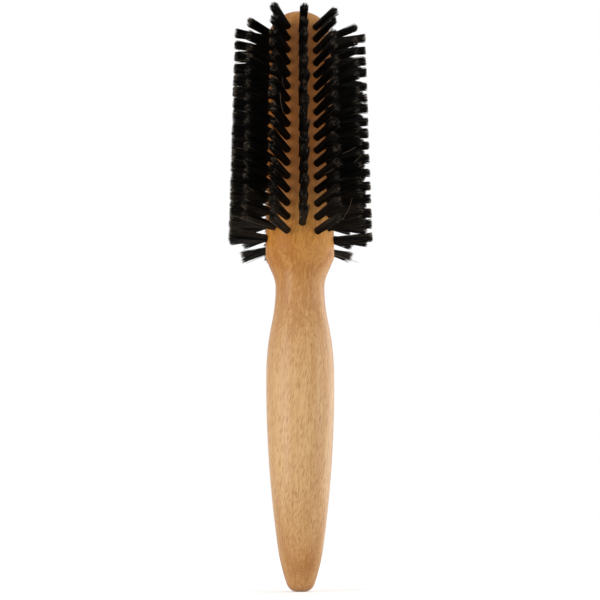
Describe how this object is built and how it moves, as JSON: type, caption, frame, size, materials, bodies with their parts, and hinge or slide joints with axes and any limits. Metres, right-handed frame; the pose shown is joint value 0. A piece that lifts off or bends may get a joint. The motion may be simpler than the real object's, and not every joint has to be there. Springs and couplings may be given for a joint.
{
  "type": "round hair brush",
  "caption": "Round barrel hair brush: a turned one-piece wooden handle and barrel with staggered rows of black bristle tufts set in drilled holes.",
  "frame": {"origin": "middle of the butt end of the handle, on the axis of the body", "axes": "+Z along the axis of the body from the butt end to the head; tuft row 1 faces -Y; the rows are numbered from there towards +X"},
  "size_m": [0.0586, 0.0594, 0.2378],
  "materials": {
    "beech": "smooth sanded beech under a thin satin oil, with short darker rays",
    "bristle": "black boar and nylon bristles with a soft sheen",
    "anchor_steel": "plain flat wire"
  },
  "bodies": {
    "root": {"brush_body": "beech", "tuft_row_01": "bristle", "tuft_row_02": "bristle", "tuft_row_03": "bristle", "tuft_row_04": "bristle", "tuft_row_05": "bristle", "tuft_row_06": "bristle", "tuft_row_07": "bristle", "tuft_row_08": "bristle", "tuft_row_09": "bristle", "tuft_row_10": "bristle", "tuft_row_11": "bristle", "tuft_row_12": "bristle", "tuft_row_13": "bristle", "tuft_row_14": "bristle", "anchor_row_01": "anchor_steel", "anchor_row_02": "anchor_steel", "anchor_row_03": "anchor_steel", "anchor_row_04": "anchor_steel", "anchor_row_05": "anchor_steel", "anchor_row_06": "anchor_steel", "anchor_row_07": "anchor_steel", "anchor_row_08": "anchor_steel", "anchor_row_09": "anchor_steel", "anchor_row_10": "anchor_steel", "anchor_row_11": "anchor_steel", "anchor_row_12": "anchor_steel", "anchor_row_13": "anchor_steel", "anchor_row_14": "anchor_steel"}
  },
  "joints": []
}
